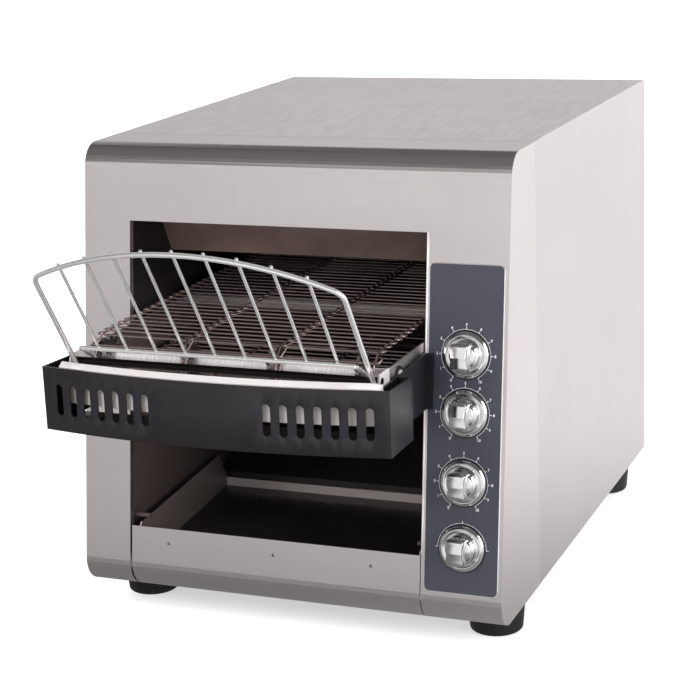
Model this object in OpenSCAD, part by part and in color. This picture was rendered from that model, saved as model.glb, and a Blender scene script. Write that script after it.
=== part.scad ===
// Conveyor toaster: a countertop tunnel toaster with a wire belt that feeds
// bread in at the top of its front and gives the toast back below.
// Millimetres. X to the right, Y to the back, Z up. The origin is on the
// counter, at the middle of the whole machine's outline.

/* [Housing] */
// Width of the housing
body_w = 368; // [364:1:380]
// Depth of the housing at its bottom
body_d = 490; // [486:1:510]
// Height of the housing above its feet
body_h = 371; // [366:1:384]
// Lean of the front face
face_lean = 8.2; // [7:0.1:9]
// Thickness of the outer sheets
sheet = 1.2; // [1:0.1:1.4]
// Radius of the top front edge
top_round = 20; // [14:1:26]
// Radius of the bottom front edge
foot_round = 23; // [18:1:25]
// How far the front frame wraps back
bezel_d = 112; // [108:1:116]
// Width of the left post
post_left_w = 42; // [42:0.5:44]
// Width of the right post
post_right_w = 67; // [65:0.5:67]
// Height of the header over the opening
header_h = 61; // [56:1:64]
// Depth of the folded edges round the opening
flange_d = 6; // [4:0.5:8]

/* [Feet] */
// Height of a foot
foot_h = 25; // [20:1:40]
// Radius of a foot at its top
foot_r = 24; // [22:1:25]
// Foot centre from the side
foot_side = 26; // [25:1:30]
// Front foot centre behind the face line
foot_front = 72; // [60:1:84]
// Rear foot centre from the back
foot_back = 60; // [40:1:80]

/* [Tunnel] */
// Left tunnel wall from the housing's left side
tunnel_left = 40; // [38:0.5:40]
// Right tunnel wall from the housing's right side
tunnel_right = 58; // [52:0.5:58]
// Thickness of inner sheets
liner = 1; // [0.8:0.1:1.2]
// Top of the tunnel walls above the housing's bottom
wall_top = 318; // [316:1:320]
// Height of the baffle's lower edge
baffle_low = 270; // [266:1:274]
// Front edge of the upper reflector behind the face line
reflector_front = 121; // [119:1:124]
// Rear edge of the upper reflector from the housing's back
reflector_back = 90; // [86:1:100]
// Radius of the bend at the foot of the drop behind the belt
chute_r = 45; // [40:1:48]
// Height of that bend's centre
chute_z = 175; // [172:1:178]
// Slope of the chute, down to the tray
chute_slope = 19.6; // [19:0.1:20.5]
// Rear face of the drop from the housing's back
chute_back = 32; // [26:1:36]
// Radius of a heating tube
heater_r = 5; // [4:0.5:5.5]
// Height of the upper heating tubes
upper_heater_z = 283; // [281:1:284]
// Height of the lower heating tubes
lower_heater_z = 218; // [216:0.5:220]

/* [Belt] */
// Left edge of the belt inside the opening
belt_in_left = 6; // [5.5:0.5:8]
// Right edge of the belt inside the opening
belt_in_right = 9; // [6:0.5:12]
// Height of the belt's top surface
belt_top = 235; // [233:0.5:237]
// Distance from wire to wire
belt_pitch = 11.1; // [10.9:0.05:11.2]
// Number of belt wires
belt_rows = 88; // [86:2:90]
// Thickness of a belt wire
belt_wire = 1.6; // [1.2:0.1:1.8]
// Teeth on a belt sprocket
belt_teeth = 11; // [11:1:11]
// Front shaft ahead of the face line
front_shaft_ahead = 27; // [24:1:28]
// Radius of the belt shafts
shaft_r = 5; // [4:0.5:6]
// Distance of the outer sprockets from the belt's edges
sprocket_in = 13; // [11:0.5:16]

/* [Conveyor front] */
// Thickness of a conveyor rail
rail_t = 1.5; // [1.2:0.1:1.8]
// Top edge of the rails
rail_top = 225.5; // [224:0.5:227]
// Bottom edge of the rails
rail_low = 186; // [182:1:188]
// How far the guard's middle stands ahead of the face line
guard_reach = 98.3; // [98:0.1:101]
// Radius of the guard's bowed front
guard_bow = 786; // [780:1:900]
// How far the guard stands out past each side of the opening
guard_over = 14.5; // [14:0.5:15]
// Depth of the guard's sides behind its front corners
guard_side_d = 47; // [43:1:49]
// Distance of the guard's arms inside its sides
guard_arm_in = 11; // [10.5:0.1:11.2]
// Bottom of the guard
guard_low = 169; // [166:1:172]
// Height of the guard's front
guard_h = 51; // [50:1:54]
// Thickness of the guard
guard_t = 1.5; // [1.2:0.1:1.8]
// Slots in each half of the guard
slot_count = 7; // [5:1:7]
// Distance from slot to slot
slot_step = 13.2; // [12:0.1:13.3]
// Distance from the guard's middle to the middle of each row of slots
slot_row_x = 90; // [86:0.5:91]
// Width of a slot
slot_w = 6.4; // [5:0.1:7]
// Height of a slot
slot_h = 25; // [22:1:28]

/* [Feed rack] */
// Distance of the rack's legs inside the opening's width
rack_in = 5.5; // [5:0.5:8]
// Radius of the arch at the rack's top
rack_arch_r = 260; // [230:1:300]
// Height of the arch above the rod, along the rack
rack_rise = 130; // [124:0.5:136]
// Radius of the rack's upper corners
rack_corner_r = 9; // [6:1:14]
// Angle of the rack from upright
rack_tilt = 33.3; // [30:0.1:36]
// Radius of the frame wire
rack_frame_r = 2; // [1.8:0.1:2.5]
// Radius of the inner wires
rack_wire_r = 1.3; // [1.1:0.1:1.8]
// Radius of the rod that the rack hooks onto
rod_r = 3; // [2.5:0.1:3.5]

/* [Controls] */
// Distance of the knobs from the housing's right side
knob_side = 33; // [32:0.5:34]
// Height of the top knob's axis
knob_top_z = 217.6; // [216:0.1:219]
// Steps down the face from knob to knob
knob_steps = [45.8, 54.9, 52.1];
// Radius of a knob's skirt
knob_r = 18.5; // [16:0.5:19]
// Length of a knob's grip
grip_len = 21.4; // [20:0.2:25]
// Width of a knob's grip at its waist
grip_waist = 12.6; // [11:0.2:14]
// Height of a knob
knob_h = 21; // [18:0.5:24]
// Thickness of the control plate
plate_t = 0.8; // [0.6:0.1:1]

/* [Toast tray] */
// Height of the lower front panel
tray_front_h = 57; // [54:1:60]
// Gap from the tray front to the left post
tray_gap_left = 1.8; // [0.7:0.1:2.2]
// Gap from the tray front to the right post
tray_gap_right = 0.7; // [0.5:0.1:1.8]
// Height of the tray's floor at its rear
tray_floor = 35; // [34:0.5:36]
// Height of the tray's side walls above its floor
tray_wall_h = 34.5; // [30:0.5:35]
// Slope of the tray, down to the front
tray_slope = 3.8; // [3:0.1:4.5]
// Depth of the tray behind the face line
tray_d = 180; // [176:1:186]
// Height of the tray's rear lip
tray_lip = 8; // [6:0.5:9]

/* [Drive] */
// Pitch of the drive chain
chain_pitch = 6.35; // [6.35:0.01:6.35]
// Teeth on the drive sprocket
drive_teeth = 16; // [14:1:18]
// Teeth on the motor pinion
pinion_teeth = 9; // [9:1:12]
// Distance between the chain's shafts
chain_reach = 112; // [106:1:118]
// Height of the fan's axis
fan_z = 60; // [58:1:64]
// Width of the fan
fan_w = 92; // [90:1:94]
// Depth of the fan
fan_d = 25; // [22:1:28]

/* [Fits] */
// Gap between sheets that lie together
seam = 0.3; // [0.2:0.05:0.4]
// Running clearance of a shaft in its bushing
run_fit = 0.05; // [0.03:0.01:0.08]
// Gap between pieces that move past each other
move_gap = 0.5; // [0.4:0.05:0.8]

/* [Hidden] */
$fn = 48;
eps = 0.01;

lean_tan = tan(face_lean);
lean_cos = cos(face_lean);
lean_sin = sin(face_lean);

// Opening in the front frame
open_right = body_w - post_right_w;
open_w = open_right - post_left_w;
open_top = body_h - header_h;

// Rails stand just inside the opening
rail_left = post_left_w + 2 * seam;
rail_right = open_right - 2 * seam;
wall_right = body_w - tunnel_right;
rail_front = 49.5;
rail_flange = 9;

// Belt and its shafts
belt_left = post_left_w + belt_in_left;
belt_w = open_w - belt_in_left - belt_in_right;
belt_mid = belt_left + belt_w / 2;
wrap_r = belt_pitch / (2 * sin(180 / belt_teeth));
shaft_z = belt_top - belt_wire / 2 - wrap_r;
front_shaft_y = -front_shaft_ahead;
straight_steps = (belt_rows - belt_teeth) / 2;
rear_shaft_y = front_shaft_y + straight_steps * belt_pitch;
tooth_angle = 360 / belt_teeth;
sprocket_r = wrap_r * cos(180 / belt_teeth) - belt_wire / 2 - seam;
sprocket_step = (belt_w - 2 * sprocket_in) / 3;
sprocket_x = [for (i = [-1.5:1:1.5]) belt_mid - 4 + i * sprocket_step];
sprocket_w = 9;
bush_r = 8;
bush_flange_r = 11;

// Front channel, rod and rack
channel_t = 1.2;
channel_in = 5.5;
channel_floor = 192;
channel_left = rail_left + 1;
channel_right = open_right + 7.5;
channel_end_x = rail_right + 1.5;
channel_back = -rail_front - seam;
guard_top = guard_low + guard_h;
guard_w = open_w + 2 * guard_over;
guard_mid = (post_left_w + open_right - 1) / 2;
bow_y = guard_bow - guard_reach;
rod_y = -65.5;
rod_z = 221;
rack_mid = (post_left_w + open_right + 5) / 2;
rack_half = open_w / 2 - rack_in;
rack_step = rack_half / 5;
rack_lead = rod_r + rack_frame_r + move_gap;
cross_rise = 21.5;
cross_r = 1.8;
hook_gap = 0.35;

// Foremost and rearmost points of the machine
rack_reach = -rod_y + rack_rise * sin(rack_tilt)
    + rack_lead * cos(rack_tilt) + rack_frame_r;
gland_out = 14;
face_y = (rack_reach - body_d - gland_out) / 2;

// Tray
tray_left = 49;
tray_right = open_right - 2;
tray_t = 1;
runner_w = 18;
runner_t = 1.2;
pin_x = 15.5;
pin_r = 2;
pin_z = 62.5;
pin_back = 11;

// Heating tubes
upper_heater_y = [165, 255, 345];
lower_heater_y = [150, 300];
heater_over = 10;

// Controls
knob_x = body_w - knob_side;
knob_z = [
    knob_top_z,
    knob_top_z - knob_steps[0] * lean_cos,
    knob_top_z - (knob_steps[0] + knob_steps[1]) * lean_cos,
    knob_top_z - (knob_steps[0] + knob_steps[1] + knob_steps[2]) * lean_cos
];
plate_x = [open_right + 3.5, body_w - 3.6];
plate_z = [30.4, 286.8];
spindle_r = 3;
control_r = 12;
bushing_r = 4.7;
skirt_gap = 0.7;

// Drive
drive_r = chain_pitch / (2 * sin(180 / drive_teeth));
pinion_r = chain_pitch / (2 * sin(180 / pinion_teeth));
chain_x = wall_right + 12;
chain_w = 3.2;
chain_half = 2.4;
pinion_z = shaft_z - chain_reach;

// Fan
fan_x = 112;
fan_bore = fan_w / 2 - 3;
fan_hub = 16;
fan_y = body_d - sheet - seam;

// Places the housing's own frame, whose origin is the front face's left
// bottom edge line, in the machine's frame
module housed() {
    translate([-body_w / 2, face_y, foot_h]) children();
}

// Extrudes an outline drawn in Y and Z to the right, from x
module side_cut(x, w) {
    translate([x, 0, 0])
        rotate([90, 0, 90])
            linear_extrude(w) children();
}

// Puts children on the raked front face, +Z outwards
module on_face(x, z) {
    translate([x, z * lean_tan, z])
        rotate([90 - face_lean, 0, 0]) children();
}

// A cylinder along X
module rod_x(x0, x1, y, z, r) {
    translate([x0, y, z])
        rotate([0, 90, 0]) cylinder(r = r, h = x1 - x0);
}

// Points on an arc
function arc(c, r, a0, a1, n = 10) = [
    for (i = [0:n]) let (a = a0 + (a1 - a0) * i / n)
        [c[0] + r * cos(a), c[1] + r * sin(a)]
];

// Y of the front face at a height, set back by a distance
function face(z, back = 0) = z * lean_tan + back / lean_cos;

// Side outline of the front frame, set in from the outside
function bezel_outline(inset, back) = let (
    rt = top_round - inset,
    rb = foot_round - inset,
    tz = body_h - top_round,
    ct = [face(tz, top_round), tz],
    cb = [face(foot_round, foot_round), foot_round]
) concat(
    arc(cb, rb, 270, 180 - face_lean),
    arc(ct, rt, 180 - face_lean, 90),
    [[back, body_h - inset], [back, inset]]
);

// A strip of sheet along a path, as a closed outline of thickness t on the
// left of the path
function unit(v) = v / norm(v);
function left_of(v) = [-v[1], v[0]];
function offset_point(p, i, t) = let (
    n = len(p),
    a = i > 0 ? unit(p[i] - p[i - 1]) : unit(p[1] - p[0]),
    b = i < n - 1 ? unit(p[i + 1] - p[i]) : a,
    m = unit(left_of(a) + left_of(b))
) p[i] + m * t / (m * left_of(a));
function strip(p, t) = concat(
    p, [for (i = [len(p) - 1:-1:0]) offset_point(p, i, t)]
);

// ---- Housing ----

module front_bezel() {
    housed() color("silver")
        difference() {
            union() {
                difference() {
                    side_cut(0, body_w)
                        polygon(bezel_outline(0, bezel_d));
                    side_cut(sheet, body_w - 2 * sheet)
                        polygon(bezel_outline(sheet, bezel_d + 1));
                    translate([post_left_w, -5, -1])
                        cube([open_w, bezel_d - 5, open_top + 1]);
                }
                opening_side(post_left_w - sheet);
                opening_side(open_right);
                opening_head();
            }
            for (z = knob_z)
                on_face(knob_x, z)
                    translate([0, 0, -5])
                        cylinder(r = bushing_r + 0.2, h = 10);
        }
}

// Folded edge along one side of the opening
module opening_side(x) {
    z0 = foot_round * (1 - lean_sin);
    side_cut(x, sheet)
        polygon([
            [face(z0, sheet - eps), z0],
            [face(open_top + sheet, sheet - eps), open_top + sheet],
            [face(open_top + sheet, flange_d), open_top + sheet],
            [face(z0, flange_d), z0]
        ]);
}

// Folded edge along the top of the opening
module opening_head() {
    side_cut(post_left_w - eps, open_w + 2 * eps)
        polygon([
            [face(open_top, sheet - eps), open_top],
            [face(open_top, flange_d), open_top],
            [face(open_top + sheet, flange_d), open_top + sheet],
            [face(open_top + sheet, sheet - eps), open_top + sheet]
        ]);
}

module top_cover() {
    y0 = bezel_d + seam;
    d = body_d - y0 - sheet - seam;
    x0 = sheet + seam;
    w = body_w - 2 * x0;
    drop = 15;
    housed() color("silver") {
        difference() {
            translate([x0, y0, body_h - drop]) cube([w, d, drop]);
            translate([x0 + sheet, y0 - 1, body_h - drop - 1])
                cube([w - 2 * sheet, d + 2, drop + 1 - sheet]);
        }
    }
}

// One side sheet, with a folded edge at the bottom and at the back
module side_panel(x, inward) {
    y0 = bezel_d + seam;
    y1 = body_d - sheet - seam;
    fold = 12;
    z0 = sheet + seam;
    housed() color("silver") {
        translate([x, y0, 0]) cube([sheet, y1 - y0, body_h]);
        translate([inward > 0 ? x + sheet - eps : x - fold + eps, y1 - sheet, z0 + 25])
            cube([fold, sheet, body_h - z0 - 70]);
    }
}

module left_side_panel() {
    side_panel(0, 1);
}

module right_side_panel() {
    side_panel(body_w - sheet, -1);
}

// Upright air slots in the rear panel
module slot_rows(x0, z0, count, step, h) {
    for (i = [0:count - 1])
        translate([x0 + i * step, body_d - 5, z0]) cube([4, 10, h]);
}

module rear_panel() {
    housed() color("silver")
        difference() {
            translate([0, body_d - sheet, 0]) cube([body_w, sheet, body_h]);
            slot_rows(60, 296, 12, 11, 36);
            slot_rows(196, 296, 11, 11, 36);
            slot_rows(200, 30, 8, 11, 50);
            translate([fan_x, body_d - 5, fan_z])
                rotate([-90, 0, 0]) cylinder(r = fan_bore, h = 10);
            translate([gland_x, body_d - 5, gland_z])
                rotate([-90, 0, 0]) cylinder(r = gland_thread_r + 0.2, h = 10);
        }
}

module base_pan() {
    y0 = bezel_d + seam;
    x0 = sheet + seam;
    w = body_w - 2 * x0;
    d = body_d - sheet - seam - y0;
    rise = 13;
    housed() color("gray")
        difference() {
            translate([x0, y0, 0]) cube([w, d, rise]);
            translate([x0 + sheet, y0 + sheet, sheet])
                cube([w - 2 * sheet, d - 2 * sheet, rise]);
            for (x = [foot_side, body_w - foot_side])
                translate([x, body_d - foot_back, -1]) cylinder(r = 2.6, h = 5);
        }
}

// ---- Toast tray ----

module tray_front() {
    x0 = post_left_w + tray_gap_left;
    w = open_w - tray_gap_left - tray_gap_right;
    cb = [face(foot_round, foot_round), foot_round];
    outer = arc(cb, foot_round, 270, 180 - face_lean);
    inner = arc(cb, foot_round - sheet, 180 - face_lean, 270);
    under = 22;
    housed() color("silver") {
        side_cut(x0, w)
            polygon(concat(
                [[cb[0] + under, 0]], outer,
                [[face(tray_front_h), tray_front_h],
                 [face(tray_front_h, sheet), tray_front_h]],
                inner, [[cb[0] + under, sheet]]
            ));
        for (share = [0.14, 0.507, 0.837])
            on_face(post_left_w + share * open_w, tray_front_h - 12.5)
                translate([0, 0, -eps]) cylinder(r = 1.6, h = 0.4);
    }
}

// Height of the tray's floor at a depth
function tray_z(y) = tray_floor - (tray_d - y) * tan(tray_slope);

module toast_tray() {
    back = sheet + seam;
    front_top = tray_front_h - 3;
    z0 = tray_z(face(24, back));
    wall_y = face(front_top, back + tray_t / 2);
    housed() color("dimgray") {
        side_cut(tray_left, tray_right - tray_left)
            polygon(strip([
                [tray_d, tray_floor + tray_lip],
                [tray_d, tray_floor],
                [face(z0, back + tray_t), z0],
                [face(front_top, back + tray_t), front_top]
            ], tray_t));
        for (x = [tray_left, tray_right - tray_t])
            side_cut(x, tray_t)
                polygon([
                    [face(z0, back + tray_t / 2), z0 - tray_t / 2],
                    [wall_y, front_top],
                    [wall_y + 5, tray_z(wall_y + 5) + tray_wall_h],
                    [tray_d - 12, tray_z(tray_d - 12) + tray_wall_h],
                    [tray_d + tray_t / 2, tray_floor + tray_lip],
                    [tray_d + tray_t / 2, tray_floor - tray_t / 2]
                ]);
    }
}

// ---- Tunnel ----

// One tunnel wall, with the tray's runner, the tray pin and the holes for
// heating tubes and shaft
module inner_wall(x, side) {
    z_low = sheet + seam;
    z_mouth = 18;
    inner_x = side > 0 ? x + liner - eps : x + eps;
    foot_x = side > 0 ? x - 12 + eps : x + liner - eps;
    housed() color("dimgray")
        difference() {
            union() {
                side_cut(x, liner)
                    polygon([
                        [bezel_d + 4, z_low],
                        [bezel_d + 4, z_mouth],
                        [face(z_mouth, flange_d + 2), z_mouth],
                        [face(open_top - 2, flange_d + 2), open_top - 2],
                        [90, wall_top],
                        [465, wall_top],
                        [465, z_low]
                    ]);
                side_cut(side > 0 ? inner_x : inner_x - runner_w, runner_w)
                    polygon(strip([
                        for (y = [32, tray_d + 4])
                            [y, tray_z(y) - tray_t - seam]
                    ], -runner_t));
                rod_x(side > 0 ? inner_x : inner_x - pin_x,
                      side > 0 ? inner_x + pin_x : inner_x,
                      face(pin_z, pin_back), pin_z, pin_r);
                translate([foot_x, bezel_d + 10, z_low]) cube([12, 340, liner]);
            }
            for (y = upper_heater_y)
                rod_x(x - 20, x + 20, y, upper_heater_z, heater_r + seam);
            for (y = lower_heater_y)
                rod_x(x - 20, x + 20, y, lower_heater_z, heater_r + seam);
            if (side < 0)
                rod_x(x - 20, x + 20, rear_shaft_y, shaft_z, shaft_r + 4);
        }
}

module left_inner_wall() {
    inner_wall(tunnel_left - liner, 1);
}

module right_inner_wall() {
    inner_wall(wall_right, -1);
}

// Sheet across the tunnel, from wall to wall, along a path in Y and Z
module tunnel_sheet(path, t = liner) {
    x0 = tunnel_left + seam;
    side_cut(x0, wall_right - tunnel_left - 2 * seam)
        polygon(strip(path, t));
}

module discharge_chute() {
    drop_y = body_d - chute_back;
    c = [drop_y - chute_r, chute_z];
    low = c + chute_r * [sin(chute_slope), -cos(chute_slope)];
    end = [tray_d + 6, low[1] - (low[0] - tray_d - 6) * tan(chute_slope)];
    housed() color("gray")
        tunnel_sheet(concat(
            [[drop_y, wall_top - 18]],
            arc(c, chute_r, 0, chute_slope - 90, 8),
            [end, end - [2, 4]]
        ), -liner);
}

module upper_reflector() {
    top = upper_heater_z + heater_r + 5;
    back = body_d - reflector_back;
    slant = 15;
    housed() color("silver")
        tunnel_sheet([
            [reflector_front, baffle_low + 2], [reflector_front + slant, top],
            [back - slant, top], [back, baffle_low + 2]
        ]);
}

module feed_baffle() {
    run = (wall_top - 1 - baffle_low) * 0.5;
    baffle_y = reflector_front - 2.6;
    housed() color("saddlebrown")
        tunnel_sheet([
            [baffle_y - run, wall_top - 1], [baffle_y, baffle_low]
        ], 1.2);
}

module lower_reflector() {
    x0 = rail_left + rail_t + seam;
    x1 = rail_right - rail_t - seam;
    z = lower_heater_z - heater_r - 7;
    housed() color("silver")
        side_cut(x0, x1 - x0)
            polygon(strip([
                [112, z + 12], [124, z], [330, z], [342, z + 12]
            ], -liner));
}

// One quartz tube across the tunnel
module heater(y, z) {
    housed() color("linen")
        rod_x(tunnel_left - liner - heater_over,
              wall_right + liner + heater_over, y, z, heater_r);
}

module upper_heater_front() {
    heater(upper_heater_y[0], upper_heater_z);
}

module upper_heater_middle() {
    heater(upper_heater_y[1], upper_heater_z);
}

module upper_heater_rear() {
    heater(upper_heater_y[2], upper_heater_z);
}

module lower_heater_front() {
    heater(lower_heater_y[0], lower_heater_z);
}

module lower_heater_rear() {
    heater(lower_heater_y[1], lower_heater_z);
}

// Ceramic block round the end of a heating tube
module heater_holder(x, y, z) {
    difference() {
        translate([x, y - 10, z - 10]) cube([8, 20, 20]);
        rod_x(x - 1, x + 9, y, z, heater_r + 0.15);
    }
}

module heater_holders() {
    x_left = tunnel_left - liner - 8 - seam;
    x_right = wall_right + liner + seam;
    housed() color("white")
        for (x = [x_left, x_right]) {
            for (y = upper_heater_y)
                heater_holder(x, y, upper_heater_z);
            for (y = lower_heater_y)
                heater_holder(x, y, lower_heater_z);
        }
}

// ---- Conveyor ----

// One rail: plate, turned front flange and standoffs to the tunnel wall
module rail(x, inward, gap) {
    flange_x = inward > 0 ? x + rail_t - eps : x - rail_flange + eps;
    standoff_x = inward > 0 ? x - gap + seam : x + rail_t - eps;
    rear = rear_shaft_y + 30;
    nose = 14;
    housed() color("silver")
        difference() {
            union() {
                side_cut(x, rail_t)
                    polygon([
                        [-rail_front, rail_low + nose],
                        [-rail_front + nose, rail_low],
                        [rear, rail_low],
                        [rear, rail_top],
                        [-rail_front, rail_top]
                    ]);
                translate([flange_x, -rail_front, rail_low + nose])
                    cube([rail_flange, rail_t, rail_top - rail_low - nose]);
                for (y = [100, 225, 370])
                    rod_x(standoff_x, standoff_x + gap - seam + eps, y, 200, 6);
            }
            for (y = [front_shaft_y, rear_shaft_y])
                rod_x(x - 1, x + rail_t + 1, y, shaft_z, bush_r + run_fit);
            for (y = lower_heater_y)
                rod_x(x - 1, x + rail_t + 1, y, lower_heater_z, heater_r + seam);
        }
}

module left_rail() {
    rail(rail_left, 1, rail_left - tunnel_left);
}

module right_rail() {
    rail(rail_right - rail_t, -1, wall_right - rail_right);
}

module tie_rods() {
    x0 = rail_left + rail_t + seam / 2;
    x1 = rail_right - rail_t - seam / 2;
    housed() color("silver")
        for (y = [70, 365])
            rod_x(x0, x1, y, 211, 4);
}

// Flanged plain bushing, its flange inside the rail
module bushing(x, y, inward) {
    body = rail_t + 1.4;
    translate([x, y, shaft_z])
        rotate([0, inward > 0 ? 90 : -90, 0])
            difference() {
                union() {
                    translate([0, 0, -1.4]) cylinder(r = bush_r, h = body + eps);
                    translate([0, 0, rail_t + run_fit])
                        cylinder(r = bush_flange_r, h = 2);
                }
                translate([0, 0, -5]) cylinder(r = shaft_r + run_fit, h = 20);
            }
}

module shaft_bushings() {
    housed() color("goldenrod")
        for (y = [front_shaft_y, rear_shaft_y]) {
            bushing(rail_left, y, 1);
            bushing(rail_right, y, -1);
        }
}

module front_shaft() {
    housed() color("silver")
        rod_x(rail_left - 2, rail_right + 2, front_shaft_y, shaft_z, shaft_r);
}

module rear_shaft() {
    housed() color("silver")
        rod_x(rail_left - 2, chain_x + chain_w / 2 + 6,
              rear_shaft_y, shaft_z, shaft_r);
}

// Toothed wheel outline: teeth of round-bottomed shape
module toothed(count, tip, root, bore) {
    step = 360 / count;
    difference() {
        polygon([
            for (i = [0:count - 1]) for (k = [0:3])
                let (a = (i + 0.5) * step + [-0.34, -0.16, 0.16, 0.34][k] * step,
                     r = k == 0 || k == 3 ? root : tip)
                    [r * cos(a), r * sin(a)]
        ]);
        circle(r = bore);
    }
}

// Belt sprocket: toothed plate with a hub, along X
module belt_sprocket(x, y) {
    plate = 3;
    translate([x - sprocket_w / 2, y, shaft_z])
        rotate([90, 0, 90]) {
            linear_extrude(plate)
                toothed(belt_teeth, sprocket_r, sprocket_r - 4, shaft_r + run_fit);
            translate([0, 0, plate - eps])
                linear_extrude(sprocket_w - plate)
                    difference() {
                        circle(r = 9);
                        circle(r = shaft_r + run_fit);
                    }
        }
}

module front_sprockets() {
    housed() color("silver")
        for (x = sprocket_x) belt_sprocket(x, front_shaft_y);
}

module rear_sprockets() {
    housed() color("silver")
        for (x = sprocket_x) belt_sprocket(x, rear_shaft_y);
}

// Place of belt wire i, as Y, Z and the direction of travel
function belt_place(i) = let (
    s = i % belt_rows,
    top = straight_steps,
    half = belt_teeth / 2
) s <= top
    ? [rear_shaft_y - s * belt_pitch, shaft_z + wrap_r]
    : s < top + half
    ? let (a = 90 + (s - top) * tooth_angle)
        [front_shaft_y + wrap_r * cos(a), shaft_z + wrap_r * sin(a)]
    : s <= 2 * top + half
    ? [front_shaft_y + (s - top - half) * belt_pitch, shaft_z - wrap_r]
    : let (a = -90 + (s - 2 * top - half) * tooth_angle)
        [rear_shaft_y + wrap_r * cos(a), shaft_z + wrap_r * sin(a)];

// Half outline of one belt wire seen from above: straight bays with a narrow
// loop between them and at each edge that reaches to the next wire
belt_loop = 5;
belt_bays = 3;
bay_w = (belt_w - (belt_bays + 1) * belt_loop) / belt_bays;
loop_reach = belt_pitch - belt_wire - 0.6;
function wire_path() = concat(
    [[belt_loop / 2, loop_reach * 0.45]],
    [for (b = [0:belt_bays - 1]) let (x = b * (bay_w + belt_loop)) each [
        [x + belt_wire * 0.5, loop_reach],
        [x + belt_loop - belt_wire * 0.5, loop_reach],
        [x + belt_loop, 0],
        [x + belt_loop + bay_w, 0]
    ]],
    [let (x = belt_bays * (bay_w + belt_loop)) each [
        [x + belt_wire * 0.5, loop_reach],
        [x + belt_loop - belt_wire * 0.5, loop_reach],
        [x + belt_loop / 2, loop_reach * 0.45]
    ]]
);

// One belt wire, its loops towards the next one
module belt_row(i) {
    p = belt_place(i);
    q = belt_place(i + 1);
    dir = atan2(q[1] - p[1], q[0] - p[0]);
    translate([belt_left, p[0], p[1]])
        rotate([dir, 0, 0])
            translate([0, 0, -belt_wire / 2])
                linear_extrude(belt_wire)
                    polygon(strip(
                        [for (w = wire_path()) w - [0, belt_wire / 2]],
                        belt_wire));
}

module belt() {
    housed() color("dimgray")
        for (i = [0:belt_rows - 1]) belt_row(i);
}

// ---- Conveyor front ----

// Sweeps an outline, drawn as distance from the bow's centre and height,
// along the guard's bow and trims it to a width
module bowed(x0, x1) {
    sweep = 24;
    intersection() {
        translate([guard_mid, bow_y, 0])
            rotate([0, 0, -90 - sweep / 2])
                rotate_extrude(angle = sweep, $fn = 360) children();
        translate([x0, -guard_reach - 1, 0])
            cube([x1 - x0, guard_side_d, body_h]);
    }
}

// Y of the bow at a distance inside the guard's front
function bow_at(x, inside = 0) =
    bow_y - sqrt((guard_bow - inside) ^ 2 - (x - guard_mid) ^ 2);

// Stainless channel across the front: lip over the guard's top edge and web,
// both bowed, then floor and rear edge, with a plate at each end for the rod
module front_channel() {
    w = channel_end_x - channel_left;
    floor_z = channel_floor + channel_t;
    web_r = guard_bow - channel_in;
    back = channel_back - channel_t;
    housed() color("silver")
        difference() {
            union() {
                bowed(channel_left, channel_right)
                    polygon(strip([
                        [guard_bow, guard_top + 1.3],
                        [web_r, guard_top + 4.4],
                        [web_r, channel_floor]
                    ], channel_t));
                intersection() {
                    translate([guard_mid, bow_y, channel_floor])
                        cylinder(r = web_r + channel_t / 2, h = channel_t, $fn = 720);
                    translate([channel_left, -guard_reach, channel_floor - 1])
                        cube([w, guard_reach + back - 1, channel_t + 2]);
                }
                side_cut(channel_left, w)
                    polygon(strip([
                        [back - 6, floor_z], [back, floor_z], [back - 2.7, floor_z + 9]
                    ], -channel_t));
                for (x = [channel_left, channel_end_x - channel_t])
                    side_cut(x, channel_t)
                        channel_end(bow_at(x, channel_in) - channel_t / 2);
            }
            rod_x(channel_left - 1, channel_end_x + 1, rod_y, rod_z, rod_r + run_fit);
        }
}

// Outline of the channel's end plate, from the web back to the rail
module channel_end(web_y) {
    polygon([
        [web_y, channel_floor],
        [channel_back, channel_floor],
        [channel_back, rod_z + rod_r + 3],
        [rod_y - 4, rod_z + rod_r + 3],
        [web_y + 8, guard_top - 6],
        [web_y, guard_top - 6]
    ]);
}

module rack_rod() {
    housed() color("silver")
        rod_x(channel_left - 2, channel_end_x + seam, rod_y, rod_z, rod_r);
}

// Lays children in the rack's plane: X across, Y up along the rack, Z
// towards the belt. Its origin is on the rack's plane beside the rod
module rack_plane() {
    translate([rack_mid, rod_y, rod_z])
        rotate([90 + rack_tilt, 0, 0])
            mirror([0, 0, 1])
                translate([0, 0, -rack_lead]) children();
}

// Height of the arch above the rod at a distance from the rack's middle
function arch(x) = rack_rise - rack_arch_r + sqrt(rack_arch_r ^ 2 - x ^ 2);

// Centre of the rack's upper corner, left or right of its middle
rack_corner = [
    rack_half - rack_corner_r,
    rack_rise - rack_arch_r
        + sqrt((rack_arch_r - rack_corner_r) ^ 2 - (rack_half - rack_corner_r) ^ 2)
];

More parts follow.
